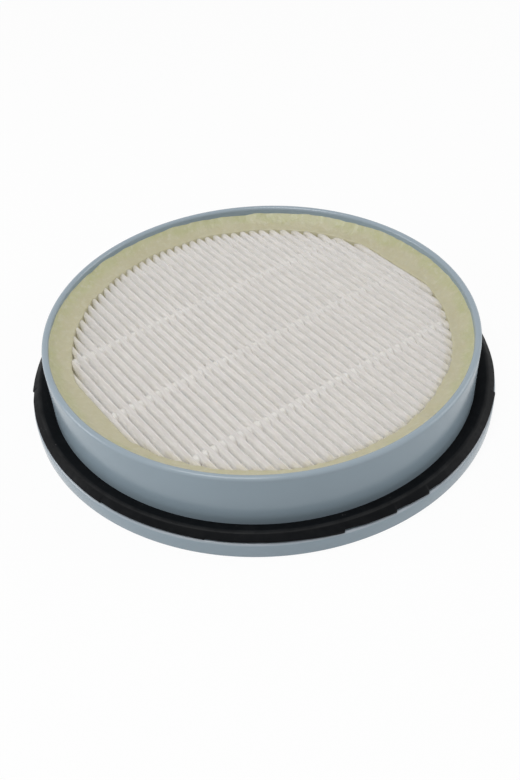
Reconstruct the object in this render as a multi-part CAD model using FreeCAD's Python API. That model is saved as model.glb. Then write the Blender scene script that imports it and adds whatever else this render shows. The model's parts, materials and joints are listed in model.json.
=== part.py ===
import FreeCAD, Part
import math
import os

from FreeCAD import Vector

# A round drop-in filter for a vacuum cleaner. A pleated pack lies on the grille of a moulded
# housing, is potted into its wall, and is sealed to the machine by a rubber ring on the flange.
# Millimetres. +Z is up, out of the open face. The origin is on the axis, at the foot of the skirt.
# The folds run along Y.

# Housing: plug wall, lip, flange and skirt
WALL_OUTER_RADIUS = 59.0
WALL_THICKNESS = 1.8
LIP_CHAMFER = 0.5
RECESS_DEPTH = 4.7
FLANGE_WIDTH = 5.5
FLANGE_HEIGHT = 4.6
FLANGE_PLATE = 2.0
FLANGE_EDGE_CHAMFER = 0.4
SKIRT_THICKNESS = 1.9
ROOT_HEIGHT = 2.4
ROOT_SWELL = 0.2

# Support grille, moulded with the housing
GRILLE_THICKNESS = 2.0
GRILLE_BAR_WIDTH = 1.8
GRILLE_RING_COUNT = 3
GRILLE_SPOKE_COUNT = 8
GRILLE_HUB_RADIUS = 4.0
LEDGE_LAP = 1.6

# Pleated pack
PLEAT_PITCH = 2.6
PLEAT_DEPTH = 14.3
PLEAT_TIP_WIDTH = 1.2
MEDIA_THICKNESS = 0.45
PACK_SIDE_ROOM = 0.5

# Potting between the pack and the wall
POTTING_WIDTH = 5.0
POTTING_RISE = 2.6
POTTING_EDGE_DROP = 0.3
POTTING_SAG = 0.45

# Seal ring: two slopes that meet in a rounded ridge, over a bulge that overhangs its foot
SEAL_LAND = 0.2
SEAL_FOOT_INSET = 0.6
SEAL_BULGE_HEIGHT = 0.75
SEAL_RIDGE_HEIGHT = 2.33
SEAL_RIDGE_INSET = 1.8
SEAL_RIDGE_ROUND = 1.1
SEAL_WALL_HEIGHT = 0.9

# Hot-melt spacers between the folds
GLUE_ROW_PITCH = 25.4
GLUE_ROW_COUNT = 4
GLUE_ROW_SHIFT = 10.0
GLUE_LENGTH = 2.2
GLUE_DEPTH = 3.0
GLUE_DROP = 0.3

# Heights and radii that follow
wall_inner_radius = WALL_OUTER_RADIUS - WALL_THICKNESS
flange_outer_radius = WALL_OUTER_RADIUS + FLANGE_WIDTH
skirt_inner_radius = flange_outer_radius - SKIRT_THICKNESS
pack_radius = wall_inner_radius - POTTING_WIDTH
ledge_inner_radius = pack_radius - LEDGE_LAP
pack_bottom = GRILLE_THICKNESS
pack_top = pack_bottom + PLEAT_DEPTH
rim_height = pack_top + RECESS_DEPTH

# Folds that follow: flanks that lean like a V, joined by tips that are half octagons, with one
# reach from the middle of a tip to all the flats of its outer or inner face
outer_reach = PLEAT_TIP_WIDTH / 2
inner_reach = outer_reach - MEDIA_THICKNESS
flat_share = math.tan(math.pi / 8)
crest_z = pack_top - outer_reach
valley_z = pack_bottom + outer_reach
usable_width = 2 * (pack_radius - PACK_SIDE_ROOM) - PLEAT_PITCH
fold_count = math.floor(usable_width / PLEAT_PITCH) + 1
crests = [(i - (fold_count - 1) / 2) * PLEAT_PITCH for i in range(fold_count)]
valleys = [x + PLEAT_PITCH / 2 for x in crests[:-1]]


def point(x, z):
    """Point of a profile in the XZ plane."""
    return Vector(x, 0, z)


def line(start, end):
    """Straight edge between two profile points, each an (x, z) pair."""
    return Part.LineSegment(point(*start), point(*end)).toShape()


def arc(start, middle, end):
    """Circular edge through three profile points."""
    return Part.Arc(point(*start), point(*middle), point(*end)).toShape()


def chain(points):
    """Straight edges through a run of profile points."""
    return [line(a, b) for a, b in zip(points, points[1:])]


def rounded_corner(before, corner, after, radius):
    """Start, middle and end of the arc that rounds a profile's corner between two straight edges."""
    tip = point(*corner)
    back = (point(*before) - tip).normalize()
    ahead = (point(*after) - tip).normalize()
    inward = (back + ahead).normalize()
    half_angle = back.getAngle(ahead) / 2
    run = radius / math.tan(half_angle)
    middle = tip + inward * (radius / math.sin(half_angle) - radius)
    return [(p.x, p.z) for p in (tip + back * run, middle, tip + ahead * run)]


def turned(edges):
    """Solid of revolution about the axis, from the closed profile that the edges make."""
    face = Part.Face(Part.Wire(edges))
    return face.revolve(Vector(0, 0, 0), Vector(0, 0, 1), 360)


def wall_root(height):
    """Point on the swollen root of the wall, at a height above the flange."""
    return (WALL_OUTER_RADIUS + ROOT_SWELL * (1 - height / ROOT_HEIGHT), FLANGE_HEIGHT + height)


def housing_shell():
    """Wall, lip, flange, skirt and ledge as one turned section."""
    channel_top = FLANGE_HEIGHT - FLANGE_PLATE
    return turned(chain([
        (skirt_inner_radius, 0),
        (flange_outer_radius, 0),
        (flange_outer_radius, FLANGE_HEIGHT - FLANGE_EDGE_CHAMFER),
        (flange_outer_radius - FLANGE_EDGE_CHAMFER, FLANGE_HEIGHT),
        wall_root(0),
        wall_root(ROOT_HEIGHT),
        (WALL_OUTER_RADIUS, rim_height - LIP_CHAMFER),
        (WALL_OUTER_RADIUS - LIP_CHAMFER, rim_height),
        (wall_inner_radius + LIP_CHAMFER, rim_height),
        (wall_inner_radius, rim_height - LIP_CHAMFER),
        (wall_inner_radius, pack_bottom),
        (ledge_inner_radius, pack_bottom),
        (ledge_inner_radius, 0),
        (WALL_OUTER_RADIUS, 0),
        (WALL_OUTER_RADIUS, channel_top),
        (skirt_inner_radius, channel_top),
        (skirt_inner_radius, 0),
    ]))


def grille_bars():
    """Hub, rings and spokes of the support grille, each spoke let into the ledge."""
    bars = [Part.makeCylinder(GRILLE_HUB_RADIUS, GRILLE_THICKNESS)]
    ring_pitch = ledge_inner_radius / (GRILLE_RING_COUNT + 1)
    for i in range(1, GRILLE_RING_COUNT + 1):
        outer = Part.makeCylinder(i * ring_pitch + GRILLE_BAR_WIDTH / 2, GRILLE_THICKNESS)
        inner = Part.makeCylinder(i * ring_pitch - GRILLE_BAR_WIDTH / 2, GRILLE_THICKNESS)
        bars.append(outer.cut(inner))
    spoke_length = ledge_inner_radius + LEDGE_LAP / 2
    spoke_corner = Vector(0, -GRILLE_BAR_WIDTH / 2, 0)
    for i in range(GRILLE_SPOKE_COUNT):
        spoke = Part.makeBox(spoke_length, GRILLE_BAR_WIDTH, GRILLE_THICKNESS, spoke_corner)
        spoke.rotate(Vector(0, 0, 0), Vector(0, 0, 1), i * 360 / GRILLE_SPOKE_COUNT)
        bars.append(spoke)
    return bars


def filter_housing():
    """The whole moulding."""
    return housing_shell().multiFuse(grille_bars()).removeSplitter()


def seal_ring():
    """Ridged rubber ring, seated on the flange and on the root of the wall, bulging out over its foot."""
    outer_radius = flange_outer_radius - SEAL_LAND
    foot = (outer_radius - SEAL_FOOT_INSET, FLANGE_HEIGHT)
    bulge = (outer_radius, FLANGE_HEIGHT + SEAL_BULGE_HEIGHT)
    ridge = (outer_radius - SEAL_RIDGE_INSET, FLANGE_HEIGHT + SEAL_RIDGE_HEIGHT)
    wall_edge = wall_root(SEAL_WALL_HEIGHT)
    crown = rounded_corner(bulge, ridge, wall_edge, SEAL_RIDGE_ROUND)
    edges = [arc(*crown)]
    edges += chain([crown[2], wall_edge, wall_root(0), foot, bulge, crown[0]])
    return turned(edges)


def potting_ring():
    """Cast adhesive, with a hollow surface that climbs from the folds to the wall."""
    edge_height = pack_top - POTTING_EDGE_DROP
    wall_height = pack_top + POTTING_RISE
    inner_edge = (pack_radius, edge_height)
    wall_edge = (wall_inner_radius, wall_height)
    hollow = ((pack_radius + wall_inner_radius) / 2, (edge_height + wall_height) / 2 - POTTING_SAG)
    edges = [arc(inner_edge, hollow, wall_edge)]
    edges += chain([wall_edge, (wall_inner_radius, pack_bottom), (pack_radius, pack_bottom), inner_edge])
    return turned(edges)


def fold_tip(x, z, reach, side):
    """Corners of a tip with its middle at x, z, towards +X: side +1 over a crest, -1 under a valley."""
    flat = reach * flat_share
    return [
        (x - reach, z + side * flat),
        (x - flat, z + side * reach),
        (x + flat, z + side * reach),
        (x + reach, z + side * flat),
    ]


def gap_reach(depth):
    """Half the width of the gap between two flanks, at a depth below the tips beside it."""
    mouth = outer_reach * (1 - flat_share)
    share = (depth - mouth) / (crest_z - valley_z + (outer_reach + inner_reach) * flat_share)
    mouth_reach = PLEAT_PITCH / 2 - outer_reach
    return mouth_reach + (inner_reach - mouth_reach) * share


def pleated_media():
    """One sheet folded to and fro, cut round. Its outline goes out along the upper face and back below."""
    upper = []
    lower = []
    for i, x in enumerate(crests):
        upper += fold_tip(x, crest_z, outer_reach, 1)
        lower += fold_tip(x, crest_z, inner_reach, 1)
        if i < len(valleys):
            upper += fold_tip(valleys[i], valley_z, inner_reach, -1)
            lower += fold_tip(valleys[i], valley_z, outer_reach, -1)
    foot_reach = gap_reach(0)
    foot = [(foot_reach + MEDIA_THICKNESS, pack_bottom), (foot_reach, pack_bottom)]
    right_end = [(crests[-1] + x, z) for x, z in foot]
    left_end = [(crests[0] - x, z) for x, z in reversed(foot)]
    outline = upper + right_end + lower[::-1] + left_end
    sheet = Part.Face(Part.Wire(chain(outline + outline[:1]))).extrude(Vector(0, 2 * pack_radius, 0))
    sheet.translate(Vector(0, -pack_radius, 0))
    cutter = Part.makeCylinder(pack_radius, PLEAT_DEPTH, Vector(0, 0, pack_bottom))
    return sheet.common(cutter)


def glue_row(row, gaps, tip_z, side):
    """Spacers of one row, one in each gap that the round pack holds there: side +1 above, -1 below."""
    y = (row - (GLUE_ROW_COUNT - 1) / 2) * GLUE_ROW_PITCH + GLUE_ROW_SHIFT
    far_y = abs(y) + GLUE_LENGTH / 2
    deep = GLUE_DROP + GLUE_DEPTH
    wide_reach = gap_reach(GLUE_DROP)
    deep_reach = gap_reach(deep)
    spacers = []
    for x in gaps:
        if math.hypot(abs(x) + wide_reach, far_y) < pack_radius:
            section = [
                (x - wide_reach, tip_z - side * GLUE_DROP),
                (x + wide_reach, tip_z - side * GLUE_DROP),
                (x + deep_reach, tip_z - side * deep),
                (x - deep_reach, tip_z - side * deep),
                (x - wide_reach, tip_z - side * GLUE_DROP),
            ]
            spacer = Part.Face(Part.Wire(chain(section))).extrude(Vector(0, GLUE_LENGTH, 0))
            spacer.translate(Vector(0, y - GLUE_LENGTH / 2, 0))
            spacers.append(spacer)
    return Part.makeCompound(spacers)


nodes = {
    "filter_housing": filter_housing(),
    "seal_ring": seal_ring(),
    "potting_ring": potting_ring(),
    "pleated_media": pleated_media(),
}
for row in range(GLUE_ROW_COUNT):
    nodes[f"upper_glue_row_{row + 1}"] = glue_row(row, valleys, pack_top, 1)
    nodes[f"lower_glue_row_{row + 1}"] = glue_row(row, crests, pack_bottom, -1)

os.makedirs("parts", exist_ok=True)
for name, shape in nodes.items():
    shape.exportStep(f"parts/{name}.step")
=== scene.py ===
"""Round pleated filter of a vacuum cleaner: its visual pieces, its finishes and a plain studio.

Each sub-assembly is a class whose fields are sizes in millimetres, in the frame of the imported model.
"""
import json
import logging
import math
from collections.abc import Callable, Sequence
from dataclasses import dataclass
from enum import Enum

import bmesh
import bpy
from mathutils import Matrix, Vector, noise


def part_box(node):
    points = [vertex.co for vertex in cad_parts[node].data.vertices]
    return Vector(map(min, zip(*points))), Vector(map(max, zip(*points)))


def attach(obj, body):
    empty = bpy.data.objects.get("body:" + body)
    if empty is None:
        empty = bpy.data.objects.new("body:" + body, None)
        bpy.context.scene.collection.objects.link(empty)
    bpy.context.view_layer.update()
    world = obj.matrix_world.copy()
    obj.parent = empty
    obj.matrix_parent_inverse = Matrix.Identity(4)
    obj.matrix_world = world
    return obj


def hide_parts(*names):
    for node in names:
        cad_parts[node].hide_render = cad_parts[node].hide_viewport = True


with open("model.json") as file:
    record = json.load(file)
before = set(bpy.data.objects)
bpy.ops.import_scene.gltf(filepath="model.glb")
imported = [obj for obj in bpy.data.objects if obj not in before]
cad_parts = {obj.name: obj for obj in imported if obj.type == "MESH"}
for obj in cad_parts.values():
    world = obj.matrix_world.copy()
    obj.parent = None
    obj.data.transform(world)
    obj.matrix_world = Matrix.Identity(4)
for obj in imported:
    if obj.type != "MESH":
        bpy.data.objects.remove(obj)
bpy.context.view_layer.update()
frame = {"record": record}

log = logging.getLogger("vacuum_filter")

MM = 0.001
BODY = "root"

Colour = tuple[float, float, float]
Pair = tuple[float, float]
Socket = bpy.types.NodeSocket
Value = Socket | float | int | tuple
Inputs = dict[str | int, Value]

TURNED_EDGE = math.radians(40)
GRILLE_EDGE = math.radians(50)


class Slot(Enum):
    """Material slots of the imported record."""

    HOUSING = "housing_plastic"
    SEAL = "seal_rubber"
    POTTING = "potting_adhesive"
    PAPER = "filter_paper"
    GLUE = "spacer_glue"


class PackFace(Enum):
    """The two open faces of the pleated pack."""

    UPPER = "upper"
    LOWER = "lower"


class Graph:
    """Short calls that build one node tree."""

    def __init__(self, tree: bpy.types.NodeTree) -> None:
        """Takes over a tree and empties it."""
        self.tree = tree
        self.given: dict[str, Socket] = {}
        tree.nodes.clear()

    def feed(self, socket: Socket, value: Value) -> None:
        """Links a socket to another one, or sets its value."""
        if isinstance(value, bpy.types.NodeSocket):
            self.tree.links.new(value, socket)
        else:
            socket.default_value = value

    def fill(self, node: bpy.types.Node, inputs: Inputs) -> None:
        """Feeds several inputs of a node, by name or index."""
        for key, value in inputs.items():
            self.feed(node.inputs[key], value)

    def node(self, kind: str, inputs: Inputs | None = None, **settings: object) -> bpy.types.Node:
        """Adds a node.

        Args:
            kind: Blender's name of the node type.
            inputs: Values or sockets for its inputs, by name or index.
            settings: Properties of the node itself.

        Returns:
            The new node.
        """
        made = self.tree.nodes.new(kind)
        for name, value in settings.items():
            setattr(made, name, value)
        self.fill(made, inputs or {})
        return made

    def out(self, kind: str, inputs: Inputs | None = None, **settings: object) -> Socket:
        """Adds a node and gives its first output."""
        return self.node(kind, inputs, **settings).outputs[0]

    def math(self, operation: str, *values: Value) -> Socket:
        """Adds a Math node and gives its result."""
        return self.out("ShaderNodeMath", dict(enumerate(values)), operation=operation)

    def vector(self, x: Value, y: Value, z: Value) -> Socket:
        """Adds a Combine XYZ node and gives its vector."""
        return self.out("ShaderNodeCombineXYZ", {0: x, 1: y, 2: z})

    def split(self, vector: Socket) -> Sequence[Socket]:
        """Adds a Separate XYZ node and gives its x, y and z."""
        return self.node("ShaderNodeSeparateXYZ", {0: vector}).outputs

    def radius(self, parts: Sequence[Socket]) -> Socket:
        """Adds the distance from the axis, from a place's x and y."""
        squares = [self.math("POWER", part, 2.0) for part in parts[:2]]
        return self.math("SQRT", self.math("ADD", *squares))

    def noise(self, vector: Value, scale: float, detail: float = 2.0, roughness: float = 0.5) -> Socket:
        """Adds a Noise texture and gives its factor, from 0 to 1."""
        values = {"Vector": vector, "Scale": scale, "Detail": detail, "Roughness": roughness}
        return self.out("ShaderNodeTexNoise", values)

    def swing(self, vector: Value, scale: float, amount: Value, detail: float = 2.0) -> Socket:
        """Adds a noise that swings evenly about zero, up to about the amount."""
        centred = self.math("SUBTRACT", self.noise(vector, scale, detail), 0.5)
        return self.math("MULTIPLY", self.math("MULTIPLY", centred, 2.5), amount)

    def ramp(
        self, value: Value, low: float, high: float, out_low: float = 0.0, out_high: float = 1.0
    ) -> Socket:
        """Adds a clamped smooth Map Range and gives its result."""
        ends = {"Value": value, "From Min": low, "From Max": high, "To Min": out_low, "To Max": out_high}
        return self.out("ShaderNodeMapRange", ends, interpolation_type="SMOOTHSTEP")

    def mix(self, factor: Value, first: Value, second: Value) -> Socket:
        """Adds a colour Mix and gives its colour."""
        made = self.node("ShaderNodeMix", data_type="RGBA")
        self.feed(made.inputs[0], factor)
        self.feed(made.inputs[6], first if isinstance(first, bpy.types.NodeSocket) else (*first, 1.0))
        self.feed(made.inputs[7], second if isinstance(second, bpy.types.NodeSocket) else (*second, 1.0))
        return made.outputs[2]

    def bump(self, height: Value, distance: float, strength: float, normal: Socket | None = None) -> Socket:
        """Adds a Bump node, on another normal where one is given, and gives its normal."""
        inputs = {"Height": height, "Distance": distance, "Strength": strength}
        if normal is not None:
            inputs["Normal"] = normal
        return self.out("ShaderNodeBump", inputs)

    def moved(self, geometry: Socket, shift: Socket) -> Socket:
        """Adds a Transform Geometry node that moves a shape."""
        return self.out("GeometryNodeTransform", {"Geometry": geometry, "Translation": shift})

    @classmethod
    def geometry(cls, name: str, inputs: dict[str, str]) -> "Graph":
        """Starts a Geometry Nodes tree.

        Args:
            name: Name of the tree.
            inputs: Kind of socket for each named input, such as Float or Material.

        Returns:
            A graph whose given sockets are those inputs.
        """
        tree = bpy.data.node_groups.new(name, "GeometryNodeTree")
        for label, kind in inputs.items():
            tree.interface.new_socket(name=label, in_out="INPUT", socket_type=f"NodeSocket{kind}")
        tree.interface.new_socket(name="Geometry", in_out="OUTPUT", socket_type="NodeSocketGeometry")
        graph = cls(tree)
        start = graph.node("NodeGroupInput")
        graph.given = {label: start.outputs[label] for label in inputs}
        return graph

    def close(self, geometry: Socket, material: Socket) -> bpy.types.NodeTree:
        """Ends a Geometry Nodes tree in Realize Instances and Set Material."""
        real = self.out("GeometryNodeRealizeInstances", {0: geometry})
        smooth = self.out("GeometryNodeSetShadeSmooth", {0: real})
        dressed = self.out("GeometryNodeSetMaterial", {0: smooth, "Material": material})
        self.node("NodeGroupOutput", {0: dressed})
        return self.tree


@dataclass(frozen=True)
class Finish:
    """A finish with its base colour in linear light, and its roughness."""

    name: str
    colour: Colour
    roughness: float

    def material(self) -> bpy.types.Material:
        """Makes the material, whose textures read Object coordinates in millimetres."""
        made = bpy.data.materials.new(self.name)
        made.use_nodes = True
        made.diffuse_color = (*self.colour, 1.0)
        graph = Graph(made.node_tree)
        shader = graph.node("ShaderNodeBsdfPrincipled")
        graph.node("ShaderNodeOutputMaterial", {0: shader.outputs[0]})
        place = graph.node("ShaderNodeTexCoord").outputs["Object"]
        to_millimetres = (1 / MM, 1 / MM, 1 / MM)
        spot = graph.out("ShaderNodeMapping", {"Vector": place, "Scale": to_millimetres})
        self.dress(graph, shader, spot)
        return made

    def dress(self, graph: Graph, shader: bpy.types.Node, spot: Socket) -> None:
        """Feeds the shader from the place on the piece."""
        raise NotImplementedError

    def tone(self, share: float) -> Colour:
        """Gives the base colour, lighter or darker by a share."""
        return tuple(min(1.0, channel * share) for channel in self.colour)


@dataclass(frozen=True)
class HousingPlastic(Finish):
    """Satin moulded plastic with a faint flow, a fine spark texture and a painted highlight on the lip and
    the flange's top edge.
    """

    painted_highlight: Colour
    lip_height: float
    flange_edge: Pair

    def dress(self, graph: Graph, shader: bpy.types.Node, spot: Socket) -> None:
        """Feeds the shader from the place on the piece."""
        flow = graph.noise(spot, 0.06, 3.0)
        moulded = graph.mix(flow, self.tone(0.97), self.tone(1.03))
        parts = graph.split(spot)
        edge_radius, edge_height = self.flange_edge
        # The top of the lip and the rounded top edge of the flange are mixed towards a paler, greyer colour:
        # a painted highlight where those rounded edges catch the lamps.
        lip = graph.ramp(parts[2], self.lip_height - 1.0, self.lip_height - 0.3, 0.0, 0.3)
        edge = graph.ramp(graph.radius(parts), edge_radius - 0.8, edge_radius - 0.5)
        crest = graph.ramp(parts[2], edge_height - 0.6, edge_height - 0.3)
        highlight_mask = graph.math("MAXIMUM", lip, graph.math("MULTIPLY", edge, crest))
        patchy_highlight = graph.ramp(graph.noise(spot, 0.15, 3.0), 0.3, 0.7, 0.7, 1.0)
        haze = graph.noise(spot, 0.05, 1.0)
        grain = graph.noise(spot, 5.0, 2.0)
        graph.fill(shader, {
            "Base Color": graph.mix(graph.math("MULTIPLY", highlight_mask, patchy_highlight), moulded, self.painted_highlight),
            "Roughness": graph.ramp(haze, 0.2, 0.8, self.roughness - 0.02, self.roughness + 0.03),
            "Specular IOR Level": 0.45,
            "Normal": graph.bump(grain, 0.004 * MM, 0.2),
        })


@dataclass(frozen=True)
class SealRubber(Finish):
    """Black moulded rubber with bloom, a painted highlight along the crown and a few dust specks."""

    dust_and_highlight: Colour
    crown_height: float

    def dress(self, graph: Graph, shader: bpy.types.Node, spot: Socket) -> None:
        """Feeds the shader from the place on the piece."""
        bloom = graph.ramp(graph.noise(spot, 0.35, 5.0, 0.6), 0.42, 0.75, 0.0, 0.015)
        specks = graph.ramp(graph.noise(spot, 1.9, 1.0), 0.79, 0.82, 0.0, 0.5)
        height = graph.split(spot)[2]
        # A narrow band just under the top of the crown is mixed towards the paler colour: a painted highlight
        # along the crown.
        highlight_mask = graph.ramp(height, self.crown_height - 0.22, self.crown_height - 0.04, 0.0, 0.07)
        patchy_highlight = graph.ramp(graph.noise(spot, 0.18, 3.0), 0.3, 0.7, 0.4, 1.0)
        painted_highlight = graph.math("MULTIPLY", highlight_mask, patchy_highlight)
        shade = graph.mix(graph.math("ADD", bloom, painted_highlight), self.colour, self.dust_and_highlight)
        haze = graph.noise(spot, 0.8, 3.0)
        graph.fill(shader, {
            "Base Color": graph.mix(specks, shade, self.dust_and_highlight),
            "Roughness": graph.ramp(haze, 0.3, 0.7, self.roughness - 0.05, self.roughness + 0.08),
            "Specular IOR Level": 0.05,
            "Normal": graph.bump(graph.noise(spot, 1.6, 2.0), 0.02 * MM, 0.2),
        })


@dataclass(frozen=True)
class FilterPaper(Finish):
    """Matt fibrous paper that takes up a little adhesive near its cut edge, with painted light that makes it
    paler deep in its folds than at its crests.
    """

    painted_fold_light: Colour
    soaked: Colour
    edge_radius: float
    faces: Pair

    def dress(self, graph: Graph, shader: bpy.types.Node, spot: Socket) -> None:
        """Feeds the shader from the place on the piece."""
        parts = graph.split(spot)
        ragged = graph.math("ADD", graph.radius(parts), graph.swing(spot, 0.35, 1.1))
        soak = graph.ramp(ragged, self.edge_radius - 1.4, self.edge_radius + 0.5, 0.0, 0.4)
        cloud = graph.ramp(graph.noise(spot, 0.3, 4.0), 0.3, 0.7)
        handled = graph.mix(cloud, self.tone(0.965), self.tone(1.025))
        # The sheet's colour grows much paler with depth below either face of the pack, from the darker crests
        # to the folds' insides: painted light, standing for light that the paper scatters down into its
        # folds.
        above = graph.math("SUBTRACT", parts[2], self.faces[0])
        below = graph.math("SUBTRACT", self.faces[1], parts[2])
        fold_light_mask = graph.ramp(graph.math("MINIMUM", above, below), 0.15, 1.4)
        sheet = graph.mix(fold_light_mask, handled, self.painted_fold_light)
        fibre = graph.noise(spot, 4.5, 5.0, 0.65)
        flecked = graph.mix(graph.ramp(fibre, 0.30, 0.44, 0.2, 0.0), sheet, self.tone(0.88))
        soft = graph.bump(graph.noise(spot, 0.75, 2.0), 0.25 * MM, 0.4)
        graph.fill(shader, {
            "Base Color": graph.mix(soak, flecked, self.soaked),
            "Roughness": self.roughness,
            "Specular IOR Level": 0.2,
            "Subsurface Weight": 1.0,
            "Subsurface Radius": (1.0, 0.97, 0.92),
            "Subsurface Scale": 0.85 * MM,
            "Normal": graph.bump(fibre, 0.05 * MM, 0.35, soft),
        })


@dataclass(frozen=True)
class PottingAdhesive(Finish):
    """Cast adhesive, mottled, greener at the wall and warmer by the folds, softly glossy."""

    warm: Colour
    pale: Colour
    wall_radius: float

    def dress(self, graph: Graph, shader: bpy.types.Node, spot: Socket) -> None:
        """Feeds the shader from the place on the piece."""
        reach = graph.radius(graph.split(spot))
        drift = graph.math("ADD", reach, graph.swing(spot, 0.12, 3.0, 3.0))
        warmth = graph.ramp(drift, self.wall_radius - 3.6, self.wall_radius - 0.6, 1.0, 0.0)
        mottle = graph.ramp(graph.noise(spot, 0.22, 5.0, 0.6), 0.32, 0.7)
        patch = graph.ramp(graph.noise(spot, 0.7, 3.0), 0.48, 0.76, 0.0, 0.6)
        shade = graph.mix(warmth, self.colour, self.warm)
        cloudy = graph.mix(graph.math("MULTIPLY", mottle, 0.35), shade, self.pale)
        waves = graph.bump(graph.noise(spot, 0.45, 2.0), 0.5 * MM, 0.5)
        graph.fill(shader, {
            "Base Color": graph.mix(patch, cloudy, self.pale),
            "Roughness": graph.ramp(mottle, 0.0, 1.0, self.roughness, self.roughness + 0.14),
            "Subsurface Weight": 0.12,
            "Subsurface Radius": (1.0, 0.75, 0.4),
            "Subsurface Scale": 0.8 * MM,
            "Normal": graph.bump(graph.noise(spot, 1.8, 3.0), 0.1 * MM, 0.4, waves),
        })


@dataclass(frozen=True)
class SpacerGlue(Finish):
    """Waxy hot melt, a touch clear."""

    def dress(self, graph: Graph, shader: bpy.types.Node, spot: Socket) -> None:
        """Feeds the shader from the place on the piece."""
        cloud = graph.noise(spot, 0.9, 3.0)
        graph.fill(shader, {
            "Base Color": graph.mix(cloud, self.tone(0.95), self.tone(1.04)),
            "Roughness": graph.ramp(cloud, 0.3, 0.7, self.roughness, self.roughness + 0.12),
            "Subsurface Weight": 0.15,
            "Subsurface Radius": (1.0, 0.85, 0.6),
            "Subsurface Scale": 0.5 * MM,
            "Normal": graph.bump(graph.noise(spot, 1.4, 2.0), 0.12 * MM, 0.4),
        })


PLASTIC = HousingPlastic(
    "housing_plastic", (0.252, 0.320, 0.370), roughness=0.20,
    painted_highlight=(0.340, 0.381, 0.422), lip_height=21.0, flange_edge=(64.5, 4.6),
)
RUBBER = SealRubber(
    "seal_rubber", (0.0036, 0.0042, 0.0050), roughness=0.40,
    dust_and_highlight=(0.20, 0.20, 0.20), crown_height=6.75,
)
PAPER = FilterPaper(
    "filter_paper", (0.605, 0.581, 0.560), roughness=0.9,
    painted_fold_light=(0.97, 0.94, 0.895), soaked=(0.55, 0.51, 0.37), edge_radius=51.0, faces=(2.0, 16.3),
)
POTTING = PottingAdhesive(
    "potting_adhesive", (0.405, 0.405, 0.225), roughness=0.34,
    warm=(0.442, 0.412, 0.272), pale=(0.500, 0.478, 0.355), wall_radius=57.2,
)
HOT_MELT = SpacerGlue("spacer_glue", (0.690, 0.670, 0.640), roughness=0.6)


def mesh_object(
    name: str, mesh: bpy.types.Mesh, material: bpy.types.Material | None = None
) -> bpy.types.Object:
    """Puts a mesh into the scene at the origin, with a material where one is given."""
    if material is not None:
        mesh.materials.clear()
        mesh.materials.append(material)
    made = bpy.data.objects.new(name, mesh)
    bpy.context.scene.collection.objects.link(made)
    return made


def plain_mesh(holder: bpy.types.Object) -> bpy.types.Object:
    """Turns an object's modifiers into its own plain mesh."""
    bpy.context.view_layer.update()
    evaluated = holder.evaluated_get(bpy.context.evaluated_depsgraph_get())
    holder.data = bpy.data.meshes.new_from_object(evaluated)
    holder.modifiers.clear()
    holder.data.name = holder.name
    return holder


def grown(name: str, tree: bpy.types.NodeTree, sizes: dict[str, object]) -> bpy.types.Object:
    """Makes an object that carries a Geometry Nodes tree.

    Args:
        name: Name of the piece.
        tree: The tree, with named inputs.
        sizes: Value of each input, by its name.

    Returns:
        The object, with its modifier still live.
    """
    holder = mesh_object(name, bpy.data.meshes.new(name))
    modifier = holder.modifiers.new(tree.name, "NODES")
    modifier.node_group = tree
    for item in tree.interface.items_tree:
        if item.in_out == "INPUT":
            modifier[item.identifier] = sizes[item.name]
    return holder


def ring_mesh(name: str, section: Callable[[float], list[Pair]], steps: int) -> bpy.types.Mesh:
    """Makes a closed ring about the axis.

    Args:
        name: Name of the mesh.
        section: Gives the closed section at an angle, as radius and height in millimetres.
        steps: Number of sections round the axis.

    Returns:
        A closed mesh with its faces outwards.
    """
    shell = bmesh.new()
    rows = []
    for step in range(steps):
        angle = 2 * math.pi * step / steps
        x, y = math.cos(angle), math.sin(angle)
        spots = [(r * x * MM, r * y * MM, z * MM) for r, z in section(angle)]
        rows.append([shell.verts.new(spot) for spot in spots])
    count = len(rows[0])
    for row, following in zip(rows, rows[1:] + rows[:1]):
        for i in range(count):
            j = (i + 1) % count
            shell.faces.new((row[i], following[i], following[j], row[j]))
    bmesh.ops.recalc_face_normals(shell, faces=shell.faces)
    for face in shell.faces:
        face.smooth = True
    made = bpy.data.meshes.new(name)
    shell.to_mesh(made)
    shell.free()
    made.set_sharp_from_angle(angle=TURNED_EDGE)
    return made


def rounded(corners: list[tuple[float, float, float]], steps: int = 6) -> list[Pair]:
    """Rounds the corners of a closed section.

    Args:
        corners: Radius, height and corner radius of each corner, in order.
        steps: Parts of each round.

    Returns:
        The points of the rounded section.
    """
    points = []
    for i, (r, z, size) in enumerate(corners):
        here = Vector((r, z))
        if size == 0:
            points.append((r, z))
            continue
        to_last = (Vector(corners[i - 1][:2]) - here).normalized()
        to_next = (Vector(corners[(i + 1) % len(corners)][:2]) - here).normalized()
        half = to_last.angle(to_next) / 2
        middle = here + (to_last + to_next).normalized() * size / math.sin(half)
        first = here + to_last * size / math.tan(half) - middle
        final = here + to_next * size / math.tan(half) - middle
        sweep = first.angle_signed(final)
        for step in range(steps + 1):
            spoke = first.copy()
            spoke.rotate(Matrix.Rotation(-sweep * step / steps, 2))
            points.append(tuple(middle + spoke))
    return points


def unevenness(angle: float, lumps: float, seed: float) -> float:
    """Gives a smooth noise round the axis, about -1 to 1.

    Args:
        angle: Angle about the axis, in radians.
        lumps: Rough number of lumps in a radian.
        seed: Place in the noise that tells one use from another.

    Returns:
        The noise at that angle.
    """
    return noise.noise(Vector((math.cos(angle) * lumps, math.sin(angle) * lumps, seed)))


def nearness(angle: float, side: float, spread: float) -> float:
    """Gives 1 at one side of the ring, falling smoothly to 0 away from it.

    Args:
        angle: Angle about the axis, in radians.
        side: Angle of that side, in degrees.
        spread: How far off the value is still about a third, in radians.

    Returns:
        A share from 0 to 1.
    """
    off = math.remainder(angle - math.radians(side), math.tau)
    return math.exp(-((off / spread) ** 2))


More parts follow.
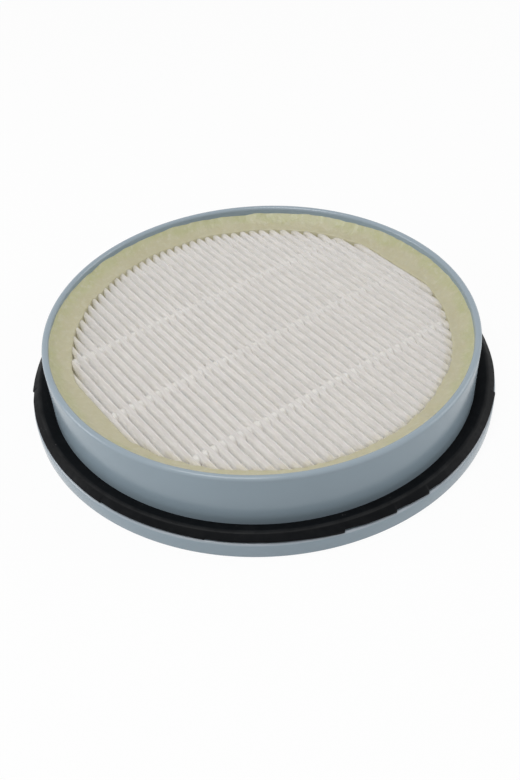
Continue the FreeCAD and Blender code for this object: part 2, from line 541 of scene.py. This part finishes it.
def place(piece: bpy.types.Object, slot: Slot, *nodes: str) -> None:
    """Lets a piece ride on the one body, hides the nodes it stands for, and logs it with them."""
    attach(piece, BODY)
    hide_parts(*nodes)
    log.info("%s: %d faces, stands for %s", piece.name, len(piece.data.polygons), ", ".join(nodes))


def mount_size(name: str, key: str) -> float:
    """Gives a size of one of the record's mounts, in millimetres."""
    return next(mount["dims"][key] for mount in frame["record"]["mounts"] if mount["name"] == name)


@dataclass
class Housing:
    """The moulding: plug wall, lip, flange, skirt, ledge and support grille."""

    wall_radius: float = mount_size("plug_wall", "r_mm")
    flange_radius: float = float(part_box("filter_housing")[1][0]) / MM
    rim_height: float = float(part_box("filter_housing")[1][2]) / MM
    wall_thickness: float = 1.8
    lip_round: float = 0.85
    flange_height: float = 4.6
    flange_plate: float = 2.0
    flange_round: float = 0.7
    skirt_thickness: float = 1.9
    root_height: float = 2.4
    root_swell: float = 0.2
    ledge_radius: float = 50.6
    grille_thickness: float = 2.0
    bar_width: float = 1.8
    ring_count: int = 3
    ring_steps: int = 128
    spoke_count: int = 8
    spoke_root: float = 0.8
    hub_radius: float = 4.0
    hub_steps: int = 64
    bar_set_back: float = 0.05
    bar_round: float = 0.25
    steps: int = 384

    def section(self, angle: float) -> list[Pair]:
        """Gives the turned section, the same at every angle."""
        skirt_inner = self.flange_radius - self.skirt_thickness
        wall_inner = self.wall_radius - self.wall_thickness
        channel_top = self.flange_height - self.flange_plate
        return rounded([
            (skirt_inner, 0.0, 0.2),
            (self.flange_radius, 0.0, 0.25),
            (self.flange_radius, self.flange_height, self.flange_round),
            (self.wall_radius + self.root_swell, self.flange_height, 0.0),
            (self.wall_radius, self.flange_height + self.root_height, 0.0),
            (self.wall_radius, self.rim_height, self.lip_round),
            (wall_inner, self.rim_height, self.lip_round),
            (wall_inner, self.grille_thickness, 0.0),
            (self.ledge_radius, self.grille_thickness, 0.2),
            (self.ledge_radius, 0.0, 0.2),
            (self.wall_radius, 0.0, 0.2),
            (self.wall_radius, channel_top, 0.3),
            (skirt_inner, channel_top, 0.3),
        ])

    def grille_tree(self) -> bpy.types.NodeTree:
        """Builds the tree of the grille: a hub, rings set back a touch and spokes set back a touch more."""
        graph = Graph.geometry("support_grille", {
            "Ring Pitch": "Float", "Spoke Count": "Int", "Spoke Length": "Float", "Bar Width": "Float",
            "Thickness": "Float", "Set Back": "Float", "Hub Radius": "Float", "Material": "Material",
        })
        given = graph.given
        middle = graph.vector(0.0, 0.0, graph.math("MULTIPLY", given["Thickness"], 0.5))
        ring_depth = graph.math("MULTIPLY_ADD", given["Set Back"], -2.0, given["Thickness"])
        spoke_depth = graph.math("MULTIPLY_ADD", given["Set Back"], -2.0, ring_depth)
        bar = graph.out("GeometryNodeCurvePrimitiveQuadrilateral", {
            "Width": given["Bar Width"], "Height": ring_depth,
        })
        joined = graph.node("GeometryNodeJoinGeometry")
        for ring in range(1, self.ring_count + 1):
            circle = graph.out("GeometryNodeCurvePrimitiveCircle", {
                "Resolution": self.ring_steps,
                "Radius": graph.math("MULTIPLY", given["Ring Pitch"], float(ring)),
            })
            swept = graph.out("GeometryNodeCurveToMesh", {"Curve": circle, "Profile Curve": bar})
            graph.feed(joined.inputs[0], graph.moved(swept, middle))
        hub = graph.out("GeometryNodeMeshCylinder", {
            "Vertices": self.hub_steps, "Radius": given["Hub Radius"], "Depth": given["Thickness"],
        })
        graph.feed(joined.inputs[0], graph.moved(hub, middle))
        beam_size = graph.vector(given["Spoke Length"], given["Bar Width"], spoke_depth)
        beam = graph.out("GeometryNodeMeshCube", {"Size": beam_size})
        half_way = graph.vector(graph.math("MULTIPLY", given["Spoke Length"], 0.5), 0.0, 0.0)
        centres = graph.out("GeometryNodePoints", {"Count": given["Spoke Count"], "Position": middle})
        index = graph.out("GeometryNodeInputIndex")
        turn = graph.math("DIVIDE", graph.math("MULTIPLY", index, math.tau), given["Spoke Count"])
        spokes = graph.out("GeometryNodeInstanceOnPoints", {
            "Points": centres,
            "Instance": graph.moved(beam, half_way),
            "Rotation": graph.vector(0.0, 0.0, turn),
        })
        graph.feed(joined.inputs[0], spokes)
        return graph.close(joined.outputs[0], given["Material"])

    def grille(self, material: bpy.types.Material) -> bpy.types.Mesh:
        """Makes the mesh of the grille, with its edges softened."""
        holder = grown("support_grille", self.grille_tree(), {
            "Ring Pitch": self.ledge_radius / (self.ring_count + 1) * MM,
            "Spoke Count": self.spoke_count,
            "Spoke Length": (self.ledge_radius + self.spoke_root) * MM,
            "Bar Width": self.bar_width * MM,
            "Thickness": self.grille_thickness * MM,
            "Set Back": self.bar_set_back * MM,
            "Hub Radius": self.hub_radius * MM,
            "Material": material,
        })
        soft = holder.modifiers.new("soft_edges", "BEVEL")
        soft.width = self.bar_round * MM
        soft.segments = 2
        soft.limit_method = "ANGLE"
        made = plain_mesh(holder).data
        bpy.data.objects.remove(holder)
        made.set_sharp_from_angle(angle=GRILLE_EDGE)
        return made

    def build(self) -> bpy.types.Object:
        """Builds the moulding as one piece and places it."""
        material = PLASTIC.material()
        shell = bmesh.new()
        shell.from_mesh(ring_mesh("housing_shell", self.section, self.steps))
        shell.from_mesh(self.grille(material))
        whole = bpy.data.meshes.new("housing")
        shell.to_mesh(whole)
        shell.free()
        piece = mesh_object("housing", whole, material)
        place(piece, Slot.HOUSING, "filter_housing")
        return piece


@dataclass(frozen=True)
class Tab:
    """A torn tab of flash: its start and end in degrees, its reach, and the run of the nick after it."""

    start: float
    end: float
    reach: float
    nick: float


@dataclass
class SealRing:
    """The domed rubber ring on the flange, with the flash that its mould left."""

    wall_radius: float = 59.0
    outer_radius: float = 64.3
    flange_height: float = 4.6
    height: float = 2.15
    wall_height: float = 0.9
    root_swell: float = 0.2
    root_height: float = 2.4
    foot_inset: float = 0.55
    bulge_height: float = 0.75
    bulge_reach: float = 0.12
    bulge_round: float = 0.4
    tabs: tuple[Tab, ...] = (
        Tab(142.0, 151.8, 0.55, 3.5),
        Tab(186.0, 195.0, 0.30, 3.5),
        Tab(212.0, 221.0, 0.25, 3.5),
        Tab(232.0, 250.3, 0.72, 4.5),
        Tab(254.0, 262.7, 0.60, 3.5),
        Tab(264.5, 271.7, 0.68, 3.5),
        Tab(300.0, 308.7, 0.55, 8.0),
    )
    nick_share: float = 0.7
    flash_height: float = 1.35
    flash_limit: float = 0.18
    crown_radius: float = 62.5
    crown_round: float = 0.9
    crown_over: float = 0.16
    round_steps: int = 10
    steps: int = 1440

    def flash(self, angle: float) -> float:
        """Gives how far the lower edge stands out at an angle: torn tabs, each with a nick after it."""
        total = 0.10 * unevenness(angle, 9.0, 3.0) + 0.05 * unevenness(angle, 40.0, 6.0)
        degrees = math.degrees(angle)
        for tab in self.tabs:
            if tab.start < degrees < tab.end:
                total += tab.reach * ((degrees - tab.start) / (tab.end - tab.start)) ** 1.5
            elif tab.end <= degrees < tab.end + tab.nick:
                total -= tab.reach * self.nick_share * (1 - ((degrees - tab.end) / tab.nick) ** 2)
        return total

    def section(self, angle: float) -> list[Pair]:
        """Gives the section at an angle: foot, bulging side, rounded crown and wall side."""
        outer = self.outer_radius + 0.05 * unevenness(angle, 5.0, 8.0)
        top = self.flange_height + self.height + 0.04 * unevenness(angle, 4.0, 11.0)
        wall_edge = self.wall_radius + self.root_swell * (1 - self.wall_height / self.root_height)
        points = rounded([
            (outer - self.foot_inset, self.flange_height, 0.0),
            (outer + self.bulge_reach, self.flange_height + self.bulge_height, self.bulge_round),
            (self.crown_radius, top + self.crown_round * self.crown_over, self.crown_round),
            (wall_edge, self.flange_height + self.wall_height, 0.0),
            (self.wall_radius + self.root_swell, self.flange_height, 0.0),
        ], self.round_steps)
        limit = self.flange_height + self.flash_height
        flash = self.flash(angle)
        skin = []
        for radius, height in points:
            if radius > self.crown_radius and height < limit:
                share = (limit - height) / (limit - self.flange_height)
                radius = min(radius + flash * share, self.outer_radius + self.flash_limit)
            skin.append((radius, height))
        return skin

    def build(self) -> bpy.types.Object:
        """Builds the ring and places it."""
        piece = mesh_object("seal", ring_mesh("seal", self.section, self.steps), RUBBER.material())
        place(piece, Slot.SEAL, "seal_ring")
        return piece


@dataclass
class PottingRing:
    """The cast adhesive between the pack and the wall, with its meniscus and ragged inner edge.

    A side is an angle in degrees, and its spread is in radians.
    """

    wall_radius: float = 57.2
    pack_radius: float = 52.2
    pack_top: float = float(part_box("pleated_media")[1][2]) / MM
    pack_bottom: float = float(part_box("pleated_media")[0][2]) / MM
    rise: float = 2.6
    high_side: float = 165.0
    high_spread: float = 0.8
    high_rise: float = 1.2
    highest: float = 4.0
    bite: float = 0.05
    pack_half_width: float = 50.2
    edge_radius: float = 51.7
    edge_wander: float = 0.55
    bare_side: float = 240.0
    bare_spread: float = 0.7
    bare_reach: float = 0.4
    wet_depth: float = 0.12
    wet_run: float = 0.16
    over_paper: float = 0.1
    lump_height: float = 0.16
    top_steps: int = 18
    steps: int = 1440

    def section(self, angle: float) -> list[Pair]:
        """Gives the section at an angle: top, ragged inner lip, inner side, bottom and wall side."""
        wander = 0.7 * unevenness(angle, 6.0, 1.0) + 0.6 * unevenness(angle, 24.0, 2.0)
        edge = self.edge_radius + self.edge_wander * wander
        edge += self.bare_reach * nearness(angle, self.bare_side, self.bare_spread)
        edge = min(edge, self.pack_half_width / max(abs(math.cos(angle)), 0.1))
        rise = self.rise + self.high_rise * nearness(angle, self.high_side, self.high_spread)
        rise += 0.35 * unevenness(angle, 3.0, 5.0) + 0.45 * unevenness(angle, 11.0, 6.0)
        rise = min(rise, self.highest)
        lip = self.pack_top - self.wet_depth + 0.12 * unevenness(angle, 30.0, 7.0)
        wall = self.wall_radius + self.bite
        points = []
        for step in range(self.top_steps + 1):
            share = (step / self.top_steps) ** 1.6
            radius = edge + (wall - edge) * share
            spot = Vector((radius * math.cos(angle), radius * math.sin(angle), 9.0))
            lumps = noise.noise(spot * 0.35) + 0.4 * noise.noise(spot * 0.9)
            lump = self.lump_height * math.sin(math.pi * share) * lumps
            swell = (self.wet_depth + self.over_paper) * (1 - math.exp((edge - radius) / self.wet_run))
            points.append((radius, lip + swell + rise * share ** 1.8 + lump))
        inner = self.pack_radius - 0.15
        points += [
            (wall, self.pack_bottom),
            (inner, self.pack_bottom),
            (inner, self.pack_top - 6.0),
            (edge - 1.2, self.pack_top - 2.8),
            (edge - 0.2, lip - 1.4),
        ]
        return points

    def build(self) -> bpy.types.Object:
        """Builds the ring and places it."""
        piece = mesh_object("potting", ring_mesh("potting", self.section, self.steps), POTTING.material())
        place(piece, Slot.POTTING, "potting_ring")
        return piece


@dataclass
class PleatedPack:
    """The folded paper sheet and the rows of hot melt that space its folds."""

    radius: float = 52.2
    bottom: float = float(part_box("pleated_media")[0][2]) / MM
    top: float = float(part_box("pleated_media")[1][2]) / MM
    pitch: float = 2.6
    folds: int = 39
    thickness: float = 0.45
    crest_radius: float = 0.6
    valley_radius: float = 0.375
    bend_below: float = 3.2
    bend_spread: float = 0.24
    wobble: float = 0.18
    uneven: float = 0.15
    crumple: float = 0.05
    row_pitch: float = 25.4
    row_shift: float = -2.7
    row_half: float = 1.3
    rows_along: int = 73
    glue_rows: tuple[float, ...] = (-28.1, -2.7, 22.7, 48.1)
    bead_width: float = 3.5
    bead_length: float = 4.2
    bead_depth: float = 5.0
    bead_least: tuple[float, float, float] = (1.0, 0.8, 0.95)
    bead_most: tuple[float, float, float] = (1.0, 1.15, 1.05)
    bead_segments: int = 12
    bead_rings: int = 7
    bead_drops: tuple[float, ...] = (0.4, 0.6, 0.7, 1.5)

    def fold_profile(self) -> list[Pair]:
        """Gives the middle of the sheet over one fold, from valley to valley, in sixteen equal steps."""
        rise = self.top - self.bottom - self.thickness
        half = self.pitch / 2
        valley = self.valley_radius
        crest = self.crest_radius
        slant = math.sqrt(0.5)
        neck = half - crest
        bend = rise - self.bend_below
        left = [
            (0.0, 0.0),
            (valley * slant, valley * (1 - slant)),
            (valley, valley),
            (neck - self.bend_spread, bend),
        ]
        for step in range(5):
            turn = math.pi * (1 - step / 8)
            left.append((half + crest * math.cos(turn), rise - crest + crest * math.sin(turn)))
        right = [(self.pitch - x, z) for x, z in reversed(left[:-1])]
        return [(x / self.pitch, z / rise) for x, z in left + right]

    def profile_curve(self, graph: Graph, share: Socket, axis: int) -> Socket:
        """Adds a Float Curve that holds one coordinate of the fold's profile.

        Args:
            graph: The sheet's tree.
            share: How far along the fold a point is, from 0 to 1.
            axis: 0 for the place across the fold, 1 for the height.

        Returns:
            That coordinate as a share of the pitch or of the rise.
        """
        made = graph.node("ShaderNodeFloatCurve", {"Factor": 1.0, "Value": share})
        points = made.mapping.curves[0].points
        profile = self.fold_profile()
        last = len(profile) - 1
        for i, pair in enumerate(profile):
            spot = (i / last, pair[axis])
            if i in (0, last):
                points[0 if i == 0 else len(points) - 1].location = spot
            else:
                points.new(*spot)
        for point in points:
            point.handle_type = "VECTOR"
        made.mapping.update()
        return made.outputs[0]

    def sheet_tree(self) -> bpy.types.NodeTree:
        """Builds the tree that folds a flat grid to and fro, cuts it round and crumples it a little."""
        graph = Graph.geometry("pleated_sheet", {
            "Folds": "Int", "Rows": "Int", "Pitch": "Float", "Rise": "Float", "Bottom": "Float",
            "Radius": "Float", "Wobble": "Float", "Uneven": "Float", "Crumple": "Float",
            "Row Pitch": "Float", "Row Shift": "Float", "Row Half": "Float", "Material": "Material",
        })
        given = graph.given
        steps = len(self.fold_profile()) - 1
        grid = graph.out("GeometryNodeMeshGrid", {
            "Size X": 1.0,
            "Size Y": 2.0,
            "Vertices X": graph.math("MULTIPLY_ADD", given["Folds"], float(steps), 1.0),
            "Vertices Y": given["Rows"],
        })
        flat = graph.split(graph.out("GeometryNodeInputPosition"))
        travel = graph.math("MULTIPLY", graph.math("ADD", flat[0], 0.5), given["Folds"])
        fold = graph.math("FLOOR", graph.math("ADD", travel, 0.001))
        share = graph.math("MAXIMUM", graph.math("SUBTRACT", travel, fold), 0.0)
        across = self.profile_curve(graph, share, 0)
        height = self.profile_curve(graph, share, 1)
        half_folds = graph.math("MULTIPLY", given["Folds"], 0.5)
        place_across = graph.math("SUBTRACT", graph.math("ADD", fold, across), half_folds)
        x = graph.math("MULTIPLY", place_across, given["Pitch"])
        chord = graph.math("SUBTRACT", graph.math("POWER", given["Radius"], 2.0), graph.math("POWER", x, 2.0))
        y = graph.math("MULTIPLY", flat[1], graph.math("SQRT", graph.math("MAXIMUM", chord, 0.0)))
        from_row = graph.math("SUBTRACT", y, given["Row Shift"])
        row = graph.math("ROUND", graph.math("DIVIDE", from_row, given["Row Pitch"]))
        off_row = graph.math("SUBTRACT", from_row, graph.math("MULTIPLY", row, given["Row Pitch"]))
        spread = graph.math("POWER", graph.math("DIVIDE", off_row, given["Row Half"]), 2.0)
        pinch = graph.math("EXPONENT", graph.math("MULTIPLY", spread, -1.0))
        run = graph.math("DIVIDE", y, MM)
        lean_spot = graph.vector(graph.math("MULTIPLY", fold, 7.3), run, 0.0)
        lean = graph.swing(lean_spot, 0.085, given["Wobble"])
        kink_spot = graph.vector(graph.math("MULTIPLY", fold, 5.1), graph.math("MULTIPLY", row, 9.7), 4.0)
        kink = graph.math("MULTIPLY", graph.swing(kink_spot, 1.0, given["Wobble"], 0.0), pinch)
        lift_spot = graph.vector(graph.math("MULTIPLY", fold, 3.7), run, 8.0)
        crest_lift = graph.swing(lift_spot, 0.11, given["Uneven"])
        dip = graph.math("MULTIPLY", pinch, graph.math("MULTIPLY", given["Uneven"], -0.6))
        whole = graph.vector(graph.math("DIVIDE", x, MM), run, graph.math("MULTIPLY", height, 14.0))
        dent = graph.swing(whole, 0.42, given["Crumple"], 3.0)
        sway = graph.math("ADD", graph.math("MULTIPLY", graph.math("ADD", lean, kink), height), dent)
        lift = graph.math("MULTIPLY", graph.math("ADD", crest_lift, dip), graph.math("POWER", height, 4.0))
        room = graph.math("MULTIPLY", given["Uneven"], 0.8)
        sunk = graph.math("SUBTRACT", graph.math("ADD", lift, dent), room)
        drop = graph.math("MULTIPLY", sunk, graph.math("POWER", height, 2.0))
        z = graph.math("ADD", graph.math("MULTIPLY_ADD", height, given["Rise"], given["Bottom"]), drop)
        folded = graph.out("GeometryNodeSetPosition", {
            "Geometry": grid, "Position": graph.vector(graph.math("ADD", x, sway), y, z),
        })
        return graph.close(folded, given["Material"])

    def build_sheet(self) -> bpy.types.Object:
        """Builds the folded sheet with its thickness and places it."""
        half_sheet = self.thickness / 2
        piece = grown("pleats", self.sheet_tree(), {
            "Folds": self.folds,
            "Rows": self.rows_along,
            "Pitch": self.pitch * MM,
            "Rise": (self.top - self.bottom - self.thickness) * MM,
            "Bottom": (self.bottom + half_sheet) * MM,
            "Radius": self.radius * MM,
            "Wobble": self.wobble * MM,
            "Uneven": self.uneven * MM,
            "Crumple": self.crumple * MM,
            "Row Pitch": self.row_pitch * MM,
            "Row Shift": self.row_shift * MM,
            "Row Half": self.row_half * MM,
            "Material": PAPER.material(),
        })
        wall = piece.modifiers.new("sheet_thickness", "SOLIDIFY")
        wall.thickness = self.thickness * MM
        wall.offset = 0.0
        plain_mesh(piece)
        place(piece, Slot.PAPER, "pleated_media")
        return piece

    def row_tree(self) -> bpy.types.NodeTree:
        """Builds the tree of one row of spacers: a squeezed bead in each gap between two flanks."""
        graph = Graph.geometry("spacer_row", {
            "Count": "Int", "Pitch": "Float", "Row": "Float", "Height": "Float", "Reach": "Float",
            "Width": "Float", "Length": "Float", "Depth": "Float", "Seed": "Int", "Material": "Material",
        })
        given = graph.given
        half_run = graph.math("MULTIPLY", graph.math("SUBTRACT", given["Count"], 1.0), 0.5)
        start = graph.math("MULTIPLY", graph.math("MULTIPLY", half_run, given["Pitch"]), -1.0)
        line = graph.out("GeometryNodeMeshLine", {
            "Count": given["Count"],
            "Start Location": graph.vector(start, given["Row"], given["Height"]),
            "Offset": graph.vector(given["Pitch"], 0.0, 0.0),
        })
        spot = graph.split(graph.out("GeometryNodeInputPosition"))
        half_bead = graph.math("MULTIPLY", given["Length"], 0.5)
        far_end = graph.math("ADD", graph.math("ABSOLUTE", spot[1]), half_bead)
        outside = graph.math("GREATER_THAN", graph.radius([spot[0], far_end]), given["Reach"])
        kept = graph.out("GeometryNodeDeleteGeometry", {"Geometry": line, "Selection": outside})
        ball = graph.out("GeometryNodeMeshUVSphere", {
            "Segments": self.bead_segments, "Rings": self.bead_rings, "Radius": 0.5,
        })
        bead = graph.out("GeometryNodeTransform", {
            "Geometry": ball, "Scale": graph.vector(given["Width"], given["Length"], given["Depth"]),
        })
        size = graph.out("FunctionNodeRandomValue", {
            "Min": self.bead_least, "Max": self.bead_most, "Seed": given["Seed"],
        }, data_type="FLOAT_VECTOR")
        beads = graph.out("GeometryNodeInstanceOnPoints", {
            "Points": kept, "Instance": bead, "Scale": size,
        })
        return graph.close(beads, given["Material"])

    def build_rows(self) -> list[bpy.types.Object]:
        """Builds the eight rows of spacers, four on each face of the pack, and places them."""
        tree = self.row_tree()
        material = HOT_MELT.material()
        counts = {PackFace.UPPER: self.folds - 1, PackFace.LOWER: self.folds}
        pieces = []
        for face in PackFace:
            for number, (row, drop) in enumerate(zip(self.glue_rows, self.bead_drops), 1):
                below = drop + self.bead_depth / 2
                heights = {PackFace.UPPER: self.top - below, PackFace.LOWER: self.bottom + below}
                piece = grown(f"{face.value}_spacers_{number}", tree, {
                    "Count": counts[face],
                    "Pitch": self.pitch * MM,
                    "Row": row * MM,
                    "Height": heights[face] * MM,
                    "Reach": self.radius * MM,
                    "Width": self.bead_width * MM,
                    "Length": self.bead_length * MM,
                    "Depth": self.bead_depth * MM,
                    "Seed": number + 10 * len(pieces),
                    "Material": material,
                })
                plain_mesh(piece)
                place(piece, Slot.GLUE, f"{face.value}_glue_row_{number}")
                pieces.append(piece)
        return pieces

    def build(self) -> list[bpy.types.Object]:
        """Builds the sheet and its spacers."""
        return [self.build_sheet(), *self.build_rows()]


@dataclass
class PhotoCamera:
    """The camera of the photograph, set by its angles and by where the rim's middle appears."""

    azimuth: float = -34.6
    elevation: float = 42.18
    roll: float = -3.33
    focal_pixels: float = 880.0
    image_width: float = 520.0
    sensor: float = 36.0
    rim_height: float = 21.0
    right_of_axis: float = 0.008
    below_axis: float = -19.811
    distance: float = 238.996

    def build(self) -> bpy.types.Object:
        """Adds the camera and makes it the scene's own."""
        azimuth = math.radians(self.azimuth)
        elevation = math.radians(self.elevation)
        roll = math.radians(self.roll)
        level = Vector((math.cos(azimuth), math.sin(azimuth), 0.0))
        ahead = Vector((
            -math.sin(azimuth) * math.cos(elevation),
            math.cos(azimuth) * math.cos(elevation),
            -math.sin(elevation),
        ))
        down = ahead.cross(level)
        right = level * math.cos(roll) - down * math.sin(roll)
        below = level * math.sin(roll) + down * math.cos(roll)
        shift = right * self.right_of_axis + below * self.below_axis + ahead * self.distance
        spot = (Vector((0.0, 0.0, self.rim_height)) - shift) * MM
        data = bpy.data.cameras.new("photo_camera")
        data.sensor_fit = "HORIZONTAL"
        data.sensor_width = self.sensor
        data.lens = self.focal_pixels / self.image_width * self.sensor
        data.clip_start = 0.01
        camera = bpy.data.objects.new("photo_camera", data)
        bpy.context.scene.collection.objects.link(camera)
        turn = Matrix((right, -below, -ahead)).transposed()
        camera.matrix_world = Matrix.Translation(spot) @ turn.to_4x4()
        bpy.context.scene.camera = camera
        return camera


@dataclass(frozen=True)
class Lamp:
    """A soft round lamp: its place and size in metres, and its power in watts."""

    name: str
    spot: tuple[float, float, float]
    size: float
    power: float

    def build(self) -> bpy.types.Object:
        """Adds the lamp, turned to the filter."""
        data = bpy.data.lights.new(self.name, "AREA")
        data.shape = "DISK"
        data.size = self.size
        data.energy = self.power
        lamp = bpy.data.objects.new(self.name, data)
        lamp.location = self.spot
        lamp.rotation_euler = (-Vector(self.spot)).to_track_quat("-Z", "Y").to_euler()
        bpy.context.scene.collection.objects.link(lamp)
        return lamp


@dataclass
class Studio:
    """A white floor, a plain surround and soft lamps, with its sizes in metres."""

    floor_size: float = 4.0
    floor_colour: Colour = (0.82, 0.82, 0.82)
    floor_glow: float = 0.92
    ambient: float = 0.45
    lamps: tuple[Lamp, ...] = (
        Lamp("key", (-0.26, -0.06, 0.76), 0.42, 3.0),
        Lamp("left", (-0.75, 0.50, 0.28), 0.45, 2.2),
        Lamp("right", (0.80, -0.42, 0.40), 0.6, 2.5),
    )

    def seen(self, graph: Graph) -> Socket:
        """Gives 1 for camera, glossy and transmission rays, and 0 for the others."""
        path = graph.node("ShaderNodeLightPath").outputs
        first = graph.math("MAXIMUM", path["Is Camera Ray"], path["Is Glossy Ray"])
        return graph.math("MAXIMUM", first, path["Is Transmission Ray"])

    def build_floor(self) -> bpy.types.Object:
        """Adds the floor, white to the camera with a faint shadow left on it."""
        material = bpy.data.materials.new("studio_floor")
        material.use_nodes = True
        graph = Graph(material.node_tree)
        matt = graph.out("ShaderNodeBsdfDiffuse", {"Color": (*self.floor_colour, 1.0)})
        white = graph.out("ShaderNodeEmission", {"Strength": 1.0})
        share = graph.math("MULTIPLY", self.seen(graph), self.floor_glow)
        mixed = graph.out("ShaderNodeMixShader", {0: share, 1: matt, 2: white})
        graph.node("ShaderNodeOutputMaterial", {0: mixed})
        sheet = bmesh.new()
        bmesh.ops.create_grid(sheet, x_segments=1, y_segments=1, size=self.floor_size / 2)
        mesh = bpy.data.meshes.new("studio_floor")
        sheet.to_mesh(mesh)
        sheet.free()
        floor = mesh_object("studio_floor", mesh, material)
        return floor

    def build_world(self) -> None:
        """Sets a surround that is white where it is seen and dimmer as a light."""
        world = bpy.data.worlds.new("studio_world")
        world.use_nodes = True
        graph = Graph(world.node_tree)
        white = (1.0, 1.0, 1.0, 1.0)
        light = graph.out("ShaderNodeBackground", {"Color": white, "Strength": self.ambient})
        sight = graph.out("ShaderNodeBackground", {"Color": white, "Strength": 1.0})
        mixed = graph.out("ShaderNodeMixShader", {0: self.seen(graph), 1: light, 2: sight})
        graph.node("ShaderNodeOutputWorld", {0: mixed})
        bpy.context.scene.world = world

    def build(self) -> None:
        """Builds the studio and sets the plain view transform."""
        self.build_floor()
        self.build_world()
        for lamp in self.lamps:
            lamp.build()
        bpy.context.scene.view_settings.view_transform = "Standard"


def main() -> None:
    """Builds the pieces in order, then the camera and the studio."""
    logging.basicConfig(level=logging.INFO)
    Housing().build()
    SealRing().build()
    PottingRing().build()
    PleatedPack().build()
    PhotoCamera().build()
    Studio().build()


if __name__ == "__main__":
    main()
